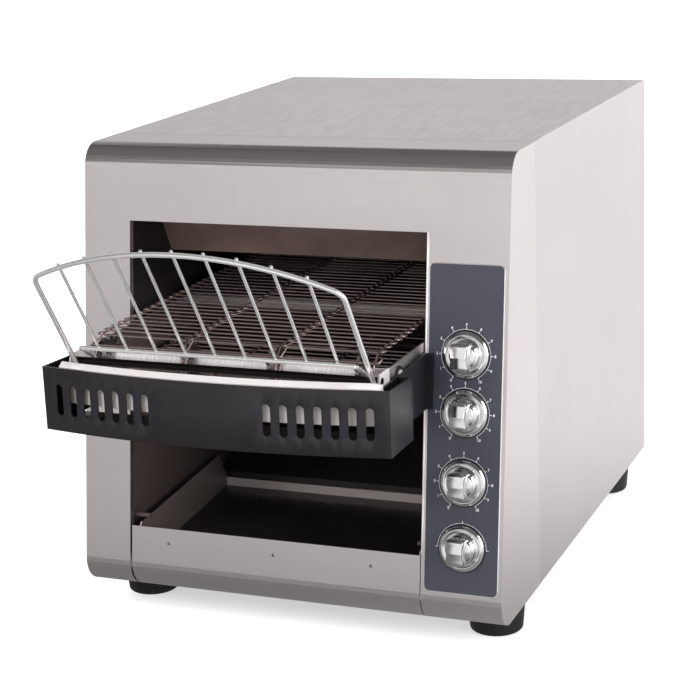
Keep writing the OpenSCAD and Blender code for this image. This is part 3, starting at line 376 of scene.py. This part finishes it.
def round_edges(node, width):
    weld = node.modifiers.new("weld", "WELD")
    weld.merge_threshold = WELD_DISTANCE
    bevel = node.modifiers.new("edges", "BEVEL")
    bevel.width = width / 1000
    bevel.segments = 2
    bevel.limit_method = "ANGLE"
    bevel.angle_limit = EDGE_ANGLE
    bevel.harden_normals = True


for name, node in NODES.items():
    if name in NODE_MATERIAL:
        key = NODE_MATERIAL[name]
    else:
        key = next(key for word, key in SET_MATERIAL.items() if word in name)
    dress(node, MATERIALS[key])
    if name in BEVELS:
        round_edges(node, BEVELS[name])

# ---- Mesh helpers: a mesh is its vertices and its faces


def new_piece(name, mesh, key, body, smooth=True):
    verts, faces = mesh
    data = bpy.data.meshes.new(name)
    data.from_pydata([tuple(v) for v in verts], [], faces)
    data.materials.append(MATERIALS[key])
    if smooth:
        data.polygons.foreach_set("use_smooth", [True] * len(data.polygons))
    data.update()
    piece = bpy.data.objects.new(name, data)
    bpy.context.scene.collection.objects.link(piece)
    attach(piece, body)
    return piece


def tube(points, r, sides):
    """A round wire with closed ends along a path of Vectors, in metres."""
    n = len(points)
    verts, faces = [], []
    first_way = (points[1] - points[0]).normalized()
    aside = Vector((0, 0, 1)) if abs(first_way.z) < 0.9 else Vector((1, 0, 0))
    normal = (aside - first_way * aside.dot(first_way)).normalized()
    last_way = first_way
    for i, p in enumerate(points):
        if i == 0:
            way = first_way
        elif i == n - 1:
            way = (points[-1] - points[-2]).normalized()
        else:
            way_in = (p - points[i - 1]).normalized()
            way_out = (points[i + 1] - p).normalized()
            way = (way_out + way_in).normalized()
        normal = last_way.rotation_difference(way) @ normal
        normal = (normal - way * normal.dot(way)).normalized()
        last_way = way
        side = way.cross(normal)
        for k in range(sides):
            a = 2 * math.pi * k / sides
            verts.append(p + (normal * math.cos(a) + side * math.sin(a)) * r)
    for i in range(n - 1):
        for k in range(sides):
            a, b = i * sides + k, i * sides + (k + 1) % sides
            faces.append((a, b, b + sides, a + sides))
    faces.append(tuple(reversed(range(sides))))
    faces.append(tuple(range((n - 1) * sides, n * sides)))
    return verts, faces


def join(meshes):
    verts, faces = [], []
    for part_verts, part_faces in meshes:
        start = len(verts)
        verts += part_verts
        faces += [tuple(i + start for i in face) for face in part_faces]
    return verts, faces


def round_corners(points, r, n):
    """A polyline of Vectors with its inner corners rounded to radius r in n steps."""
    straight = math.pi - 0.02
    # share of a side that one corner may take
    most = 0.48
    out = [points[0]]
    for before, corner, after in zip(points, points[1:], points[2:]):
        u, v = before - corner, after - corner
        room = most * min(u.length, v.length)
        u.normalize()
        v.normalize()
        angle = u.angle(v)
        if angle > straight:
            out.append(corner)
            continue
        d = min(r / math.tan(angle / 2), room)
        own_r = d * math.tan(angle / 2)
        centre = corner + (u + v).normalized() * (own_r / math.sin(angle / 2))
        start, end = corner + u * d - centre, corner + v * d - centre
        axis = start.cross(end).normalized()
        turn = start.angle(end)
        for i in range(n + 1):
            out.append(centre + Matrix.Rotation(turn * i / n, 3, axis) @ start)
    out.append(points[-1])
    return out


# ---- Wire belt: bent round wires, each hooked over the next
BELT_MID, BELT_W, BELT_TOP = 170.0, 244.0, 235.0
PITCH, WIRE = 11.1, 1.6
LINKS, TEETH = 88, 11
WRAP_R = PITCH / (2 * math.sin(math.pi / TEETH))
SHAFT_Y, SHAFT_Z = -27.0, BELT_TOP - WIRE / 2 - WRAP_R
STEPS = (LINKS - TEETH) / 2
REAR_Y = SHAFT_Y + STEPS * PITCH
LOOP_W, LOOP_LIFT, BAYS = 5.0, 0.75, 3
HOOK = 0.55


def belt_place(i):
    """Y and Z of wire i: forward on top, round in front, back below, round at the back."""
    s = i % LINKS
    half_turn = TEETH / 2
    if s <= STEPS:
        return REAR_Y - s * PITCH, SHAFT_Z + WRAP_R
    if s < STEPS + half_turn:
        a = math.radians(90 + (s - STEPS) * 360 / TEETH)
        return SHAFT_Y + WRAP_R * math.cos(a), SHAFT_Z + WRAP_R * math.sin(a)
    if s <= 2 * STEPS + half_turn:
        return SHAFT_Y + (s - STEPS - half_turn) * PITCH, SHAFT_Z - WRAP_R
    a = math.radians(-90 + (s - 2 * STEPS - half_turn) * 360 / TEETH)
    return REAR_Y + WRAP_R * math.cos(a), SHAFT_Z + WRAP_R * math.sin(a)


def belt_wire():
    """One wire laid flat: x across the belt, y the way it travels, z out of its loop."""
    bay = (BELT_W - (BAYS + 1) * LOOP_W) / BAYS
    reach = PITCH + HOOK
    inset = WIRE * 0.55
    # each end is bent in under its own loop
    tip_y, tip_z, bend_y = reach * 0.35, -0.2, reach * 0.55
    flat = [(LOOP_W * 0.5, tip_y, tip_z), (LOOP_W * 0.02, bend_y, 0)]
    for b in range(BAYS + 1):
        x = b * (bay + LOOP_W)
        flat += [(x + inset, reach, LOOP_LIFT), (x + LOOP_W - inset, reach, LOOP_LIFT)]
        if b < BAYS:
            flat += [(x + LOOP_W, 0, 0), (x + LOOP_W + bay, 0, 0)]
    flat += [(x + LOOP_W * 0.98, bend_y, 0), (x + LOOP_W * 0.5, tip_y, tip_z)]
    return round_corners([Vector(p) for p in flat], 1.5, 3)


def belt_mesh():
    wire = belt_wire()
    left = BELT_MID - BELT_W / 2
    wires = []
    for i in range(LINKS):
        (py, pz), (qy, qz) = belt_place(i), belt_place(i + 1)
        a = math.atan2(qz - pz, qy - py)
        c, s = math.cos(a), math.sin(a)
        points = [
            point(left + p.x, py + p.y * c + p.z * s, pz + p.y * s - p.z * c) for p in wire
        ]
        wires.append(tube(points, WIRE / 2000, 6))
    return join(wires)


belt = new_piece("belt_wires", belt_mesh(), "belt", "housing")
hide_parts("belt")

# ---- Feed rack: chromed wire, welded
RACK_MID, RACK_HALF, ARCH_R, CORNER_R = 174.0, 124.0, 260.0, 12.0
LEG_FOOT, LEG_MIDDLE = -24.5, 20.0
INNER_R, INNER_STEP, INNER_EACH_SIDE = 1.3, 24.8, 4
INNER_BELOW, INNER_ABOVE, INNER_END = 3.2, 1.3, 0.4
CROSS_R, CROSS_RISE, CROSS_HALF = 1.8, 21.5, 114.0
HOOK_GAP, HOOK_WRAP, HOOK_BEND = 0.35, math.radians(150), 3.2
WELD_SINK = 0.3


def rack_point(x, y, z):
    """x across, y up the rack, z towards the belt, from a point in front of the rod."""
    z = z - RACK_LEAD
    c, s = math.cos(RACK_TILT), math.sin(RACK_TILT)
    return point(RACK_MID + x, ROD_Y - y * s + z * c, ROD_Z + y * c + z * s)


def arch(x):
    return RACK_RISE - ARCH_R + math.sqrt(ARCH_R**2 - x * x)


def rack_outline():
    """The frame wire: leg, corner, arch, corner, leg."""
    cx = RACK_HALF - CORNER_R
    cy = RACK_RISE - ARCH_R + math.sqrt((ARCH_R - CORNER_R) ** 2 - cx * cx)
    sweep = math.atan2(cy - RACK_RISE + ARCH_R, cx)
    corner = []
    for k in range(9):
        a = sweep * k / 8
        corner.append((cx + CORNER_R * math.cos(a), cy + CORNER_R * math.sin(a)))
    end_x = corner[-1][0]
    top = [(end_x * (1 - k / 20), arch(end_x * (1 - k / 20))) for k in range(1, 40)]
    leg = [(RACK_HALF, y) for y in (LEG_FOOT, LEG_MIDDLE, cy * 0.6)]
    right = leg + corner
    return right + top + [(-x, y) for x, y in reversed(right)]


def inner_wire(x):
    """An inner wire behind the frame, from below the cross wire to above the arch's line."""
    z = FRAME_R + INNER_R - WELD_SINK
    foot, top = CROSS_RISE - INNER_BELOW, arch(x) + INNER_ABOVE
    heights = (foot, foot + INNER_END, top - INNER_END, top)
    return tube([rack_point(x, y, z) for y in heights], INNER_R / 1000, 10)


def cross_wire():
    """The cross wire, its ends bent back over the rod and round it."""
    ring = ROD_R + HOOK_GAP + CROSS_R
    reach = math.hypot(CROSS_RISE, RACK_LEAD)
    turn = math.acos(ring / reach) - math.atan2(RACK_LEAD, CROSS_RISE)
    right = [Vector((CROSS_HALF, CROSS_RISE + 0.2, 0.2))]
    for k in range(13):
        a = turn + HOOK_WRAP * k / 12
        right.append(
            Vector((CROSS_HALF, ring * math.cos(a), RACK_LEAD + ring * math.sin(a))))
    points = [Vector((-p.x, p.y, p.z)) for p in reversed(right)] + right
    rounded = round_corners(points, HOOK_BEND, 5)
    return tube([rack_point(*p) for p in rounded], CROSS_R / 1000, 12)


def rack_mesh():
    frame_wire = tube([rack_point(x, y, 0) for x, y in rack_outline()], FRAME_R / 1000, 14)
    places = range(-INNER_EACH_SIDE, INNER_EACH_SIDE + 1)
    return join([frame_wire, *(inner_wire(i * INNER_STEP) for i in places), cross_wire()])


rack = new_piece("feed_rack_wires", rack_mesh(), "wire", "rack")
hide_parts("feed_rack")

# ---- Knobs
KNOBS = ["speed", "upper_heat", "lower_heat", "power"]
KNOB_X = 335.0
KNOB_STEPS = (45.8, 54.9, 52.1)
KNOB_U = [217.6 / COS_LEAN]
for step in KNOB_STEPS:
    KNOB_U.append(KNOB_U[-1] - step)
# the plate's gap and sheet, then the gap to the knob's skirt
PLATE_OUT = 0.1 + 0.8
KNOB_BASE = PLATE_OUT + 0.7
GRIP_HALF, GRIP_WAIST, GRIP_FLARE = 10.7, 12.6, 1.6
RIDGE = 1.6
# radius and height of each point: the grooved skirt, and the dark ring behind it, a painted
# shadow round the skirt's foot
SKIRT = [
    (18.3, 0.0), (18.5, 0.3), (18.5, 0.9), (18.3, 1.2), (16.0, 2.7), (15.5, 2.75),
    (15.1, 2.6), (13.6, 1.7), (13.1, 1.7), (12.8, 2.0), (11.9, 5.2), (11.5, 5.7),
    (10.9, 5.9), (10.4, 6.3), (9.6, 8.9), (9.2, 9.3), (4.0, 9.6),
]
PAINTED_SHADOW_RING = [(12.0, -0.65), (19.3, -0.65), (19.35, -0.5), (19.2, -0.15), (12.0, -0.1)]


def lathe(profile, n=64):
    verts, faces = [], []
    for r, z in profile:
        for k in range(n):
            a = 2 * math.pi * k / n
            verts.append(Vector((r * math.cos(a), r * math.sin(a), z)))
    for i in range(len(profile) - 1):
        for k in range(n):
            a, b = i * n + k, i * n + (k + 1) % n
            faces.append((a, b, b + n, a + n))
    faces.append(tuple(reversed(range(n))))
    faces.append(tuple(range((len(profile) - 1) * n, len(profile) * n)))
    return verts, faces


def grip_outline(n=40):
    """Bar grip seen from the front: two blunt ends and a waist between them."""
    right = []
    for k in range(n + 1):
        share = -math.cos(math.pi * k / n)
        blunt = math.sqrt(max(0.0, 1 - share**16))
        right.append(((GRIP_WAIST / 2 + GRIP_FLARE * share**2) * blunt, GRIP_HALF * share))
    left = [(-x, y) for x, y in reversed(right[1:-1])]
    return right + left


def grip_mesh():
    """The grip, whose front falls away to both ends from a low ridge in the middle."""
    outline = grip_outline()
    n = len(outline)
    # size of the outline, its height, and 1 where it follows the ridge
    levels = [(1.0, 2.6, 0), (1.0, 12.0, 0), (0.995, 19.0, 1), (0.97, 19.9, 1), (0.92, 20.5, 1)]
    verts, faces = [], []
    for size, z, ridged in levels:
        for x, y in outline:
            fall = ridged * RIDGE * abs(y) / GRIP_HALF
            verts.append(Vector((x * size, y * size, z - fall)))
    for i in range(len(levels) - 1):
        for k in range(n):
            a, b = i * n + k, i * n + (k + 1) % n
            faces.append((a, b, b + n, a + n))
    # the front, in bands from side to side; the first and the last are triangles
    base = (len(levels) - 1) * n
    for k in range(n // 2):
        band = (k, k + 1, (n - k - 1) % n, (n - k) % n)
        faces.append(tuple(base + i for i in dict.fromkeys(band)))
    faces.append(tuple(reversed(range(n))))
    return verts, faces


def knob_piece(knob, kind, u, mesh, key):
    """One piece of a knob, drawn in millimetres round the knob's axis."""
    place = Matrix.Translation(on_face(KNOB_X, u, KNOB_BASE)) @ FACE_TURN
    verts, faces = mesh
    placed = [place @ (p / 1000) for p in verts], faces
    return new_piece(f"{knob}_knob_{kind}", placed, key, knob + "_dial")


for knob, u in zip(KNOBS, KNOB_U):
    skirt = knob_piece(knob, "skirt", u, lathe(SKIRT), "chrome")
    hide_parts(knob + "_knob")
    knob_piece(knob, "grip", u, grip_mesh(), "satin")
    # a black ring behind the skirt: a painted shadow
    knob_piece(knob, "seat", u, lathe(PAINTED_SHADOW_RING), "shadow")

# ---- Print on the control plate: ticks, an arc and numbers round each knob
PRINT_OUT = PLATE_OUT + 0.03
TICK_IN, TICK_OUT, TICK_HALF_W, ARC_HALF_W = 20.0, 21.9, 0.25, 0.15
DIAL_NUMBERS, DIAL_SWEEP = 11, 150
POWER_TICKS, POWER_SWEEP = 3, 90
NUMERAL_R, NUMERAL_H, NUMERAL_BOLD = 23.6, 3.0, 0.08


def polar(u, angle, r):
    """Place on the face at an angle, clockwise from the top, round the knob at u."""
    return KNOB_X + r * math.sin(angle), u + r * math.cos(angle)


def tick(u, angle):
    """A thin bar that points away from the knob's axis."""
    x, up = polar(u, angle, (TICK_IN + TICK_OUT) / 2)
    c, s = math.sin(angle), math.cos(angle)
    half_l = (TICK_OUT - TICK_IN) / 2
    corners = []
    for along, across in ((-1, -1), (1, -1), (1, 1), (-1, 1)):
        a, b = along * half_l, across * TICK_HALF_W
        corners.append(on_face(x + a * c - b * s, up + a * s + b * c, PRINT_OUT))
    return corners, [(0, 1, 2, 3)]


def dial_arc(u, sweep, n=60):
    """A thin arc that joins the inner ends of the ticks."""
    verts = []
    for k in range(n + 1):
        a = math.radians(-sweep + 2 * sweep * k / n)
        for r in (TICK_IN - ARC_HALF_W, TICK_IN + ARC_HALF_W):
            verts.append(on_face(*polar(u, a, r), PRINT_OUT))
    return verts, [(b, b + 2, b + 3, b + 1) for b in range(0, 2 * n, 2)]


def dial(u, count, sweep):
    angles = [math.radians(-sweep + 2 * sweep * i / (count - 1)) for i in range(count)]
    return join([*(tick(u, a) for a in angles), dial_arc(u, sweep)])


def numeral(name, text, u, angle):
    """A small printed number beside its tick."""
    curve = bpy.data.curves.new(name, "FONT")
    curve.body = text
    curve.size = NUMERAL_H / 1000
    curve.align_x = curve.align_y = "CENTER"
    curve.offset = NUMERAL_BOLD / 1000
    curve.resolution_u = 3
    curve.materials.append(MATERIALS["marks"])
    number = bpy.data.objects.new(name, curve)
    bpy.context.scene.collection.objects.link(number)
    place = on_face(*polar(u, angle, NUMERAL_R), PRINT_OUT)
    number.matrix_world = Matrix.Translation(place) @ FACE_TURN
    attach(number, "housing")


dials = [dial(u, DIAL_NUMBERS, DIAL_SWEEP) for u in KNOB_U[:3]]
dials.append(dial(KNOB_U[3], POWER_TICKS, POWER_SWEEP))
new_piece("dial_marks", join(dials), "marks", "housing", smooth=False)

for knob, u in zip(KNOBS[:3], KNOB_U):
    for i in range(DIAL_NUMBERS):
        a = math.radians(-DIAL_SWEEP + 2 * DIAL_SWEEP * i / (DIAL_NUMBERS - 1))
        numeral(f"{knob}_numeral_{i}", str(i), u, a)

# ---- Cut edge of the plate's film, which shows pale round it
PLATE_LO, PLATE_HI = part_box("control_plate")
PLATE_FOOT, PLATE_TOP, PLATE_CORNER = 30.4 / COS_LEAN, 286.8 / COS_LEAN, 4
# how far each ring stands outside the plate's outline, and out in front of the face
PLATE_RINGS = [(0.75, 0.12), (0.75, 0.4), (0.02, 0.88), (0.02, 0.12)]


def plate_ring(grow, out):
    x0 = PLATE_LO[0] * 1000 + BODY_W / 2 - grow
    x1 = PLATE_HI[0] * 1000 + BODY_W / 2 + grow
    u0, u1, r = PLATE_FOOT - grow, PLATE_TOP + grow, PLATE_CORNER + grow
    centres = ((x1 - r, u1 - r), (x0 + r, u1 - r), (x0 + r, u0 + r), (x1 - r, u0 + r))
    points = []
    for quarter, (cx, cu) in enumerate(centres):
        for k in range(7):
            a = math.radians(90 * quarter + 15 * k)
            points.append(on_face(cx + r * math.cos(a), cu + r * math.sin(a), out))
    return points


def plate_edge():
    rings = [plate_ring(grow, out) for grow, out in PLATE_RINGS]
    n = len(rings[0])
    faces = []
    for k in range(len(rings)):
        this, following = k * n, (k + 1) % len(rings) * n
        for i in range(n):
            j = (i + 1) % n
            faces.append((this + i, this + j, following + j, following + i))
    return [p for ring in rings for p in ring], faces


new_piece("plate_edge", plate_edge(), "wire", "housing", smooth=False)

# ---- Three spot weld marks on the lower panel, and the opening's rolled right edge
OPEN_X0, OPEN_X1, OPEN_TOP = 42.0, 301.0, 310
TRAY_FRONT_H = 57
SPOT_SHARES = (0.14, 0.507, 0.837)
SPOT_DOWN, SPOT_R, SPOT_OUT = 12.5, 1.4, 0.41
EDGE_X, EDGE_FOOT, EDGE_OUT, EDGE_R = OPEN_X1 + 0.9, TRAY_FRONT_H + 4, 0.05, 0.8


def spot_mark(share, n=14):
    x = OPEN_X0 + share * (OPEN_X1 - OPEN_X0)
    u = (TRAY_FRONT_H - SPOT_DOWN) / COS_LEAN
    verts = []
    for k in range(n):
        a = 2 * math.pi * k / n
        verts.append(on_face(x + SPOT_R * math.cos(a), u + SPOT_R * math.sin(a), SPOT_OUT))
    return verts, [tuple(range(n))]


def opening_edge():
    foot, top = EDGE_FOOT / COS_LEAN, OPEN_TOP / COS_LEAN
    points = [on_face(EDGE_X, foot + (top - foot) * k / 12, EDGE_OUT) for k in range(13)]
    return tube(points, EDGE_R / 1000, 12)


spots = join([spot_mark(share) for share in SPOT_SHARES])
new_piece("spot_marks", spots, "spot", "tray_drawer", smooth=False)
new_piece("opening_edge", opening_edge(), "bar", "housing")

# ---- Floor: white paper that takes the object's shadow. To the camera it is lifted to
# white away from the object, and in mirrors it carries a painted shadow in front of the
# object and painted shade towards the dark left side of the room. Places are in metres.
FLOOR_SIZE = 30
SHADE_MIDDLE = (-0.10, -0.38, 0)

bpy.ops.mesh.primitive_plane_add(size=FLOOR_SIZE, location=(0, 0, 0))
floor = bpy.context.object
floor.name = "floor"
paper = Material("floor_paper", (0.95, 0.95, 0.95), 0.85)
paper.tint(paper.noise(40, 2.0), 0.004)
floor.data.materials.append(paper.data)

tree = paper.tree
place = add_node(tree, "ShaderNodeNewGeometry").outputs["Position"]
away = add_node(tree, "ShaderNodeVectorMath", {0: place}, operation="LENGTH")
lift = between(tree, away.outputs["Value"], 0.5, 2.0, 0.52, 1.0)
seen = times(tree, lift, ray_kind(tree, "Is Camera Ray", "Is Transmission Ray"))
glow = add_node(tree, "ShaderNodeEmission", {"Strength": seen})
plain = add_node(tree, "ShaderNodeAddShader", {0: paper.shader.outputs[0], 1: glow.outputs[0]})
apart = add_node(
    tree, "ShaderNodeVectorMath", {0: place, 1: SHADE_MIDDLE}, operation="DISTANCE")
# a painted shadow for mirrors, darkest round SHADE_MIDDLE
near = between(tree, apart.outputs["Value"], 0.15, 1.0, 0.20, 1.0)
across = add_node(tree, "ShaderNodeSeparateXYZ", {0: place}).outputs["X"]
left = between(tree, across, -0.95, -0.30, 0.22, 1.0)
mirrored = add_node(tree, "ShaderNodeEmission", {"Strength": times(tree, near, left)})
surface = mix_shaders(
    tree, ray_kind(tree, "Is Glossy Ray"), plain.outputs[0], mirrored.outputs[0])
tree.links.new(surface, tree.nodes["Material Output"].inputs["Surface"])

# ---- World: soft light on the object, a white background, and for mirrors a room whose
# ceiling and left side are darker
SOFT_LIGHT = 0.6
WHITE = (1, 1, 1, 1)

world = bpy.data.worlds.new("studio")
bpy.context.scene.world = world
world.use_nodes = True
tree = world.node_tree
tree.nodes.clear()
way = add_node(tree, "ShaderNodeTexCoord").outputs["Generated"]
parts = add_node(tree, "ShaderNodeSeparateXYZ", {0: way}).outputs
ceiling = between(tree, parts["Z"], 0.28, 0.54, 1.0, 0.14)
left = between(tree, parts["X"], -0.92, -0.34, 0.30, 1.0)
soft, room, white = [
    add_node(tree, "ShaderNodeBackground", {"Color": WHITE, "Strength": strength}).outputs[0]
    for strength in (SOFT_LIGHT, times(tree, ceiling, left), 1.0)
]
lit = mix_shaders(tree, ray_kind(tree, "Is Glossy Ray"), soft, room)
seen = mix_shaders(tree, ray_kind(tree, "Is Camera Ray", "Is Transmission Ray"), lit, white)
add_node(tree, "ShaderNodeOutputWorld", {"Surface": seen})

# ---- Lamps: place, target and size in metres, power in watts, seen in mirrors or not
MIDDLE = (0, 0, 0.2)
LAMPS = {
    "key": ((-1.2, -1.9, 1.7), MIDDLE, (1.4, 1.4), 38, False),
    "fill": ((2.2, -0.9, 1.0), MIDDLE, (1.2, 1.6), 34, True),
    "overhead": ((0, 0.4, 2.4), MIDDLE, (1.6, 1.6), 16, False),
    "rim": ((1.0, 1.7, 0.75), (0.18, 0, 0.3), (1.0, 0.7), 3.5, True),
}

for name, (place, target, size, power, in_mirrors) in LAMPS.items():
    light = bpy.data.lights.new(name, "AREA")
    light.shape = "RECTANGLE"
    light.size, light.size_y = size
    light.energy = power
    lamp = bpy.data.objects.new(name, light)
    bpy.context.scene.collection.objects.link(lamp)
    lamp.location = place
    lamp.rotation_mode = "QUATERNION"
    lamp.rotation_quaternion = (Vector(target) - Vector(place)).to_track_quat("-Z", "Y")
    lamp.visible_glossy = in_mirrors
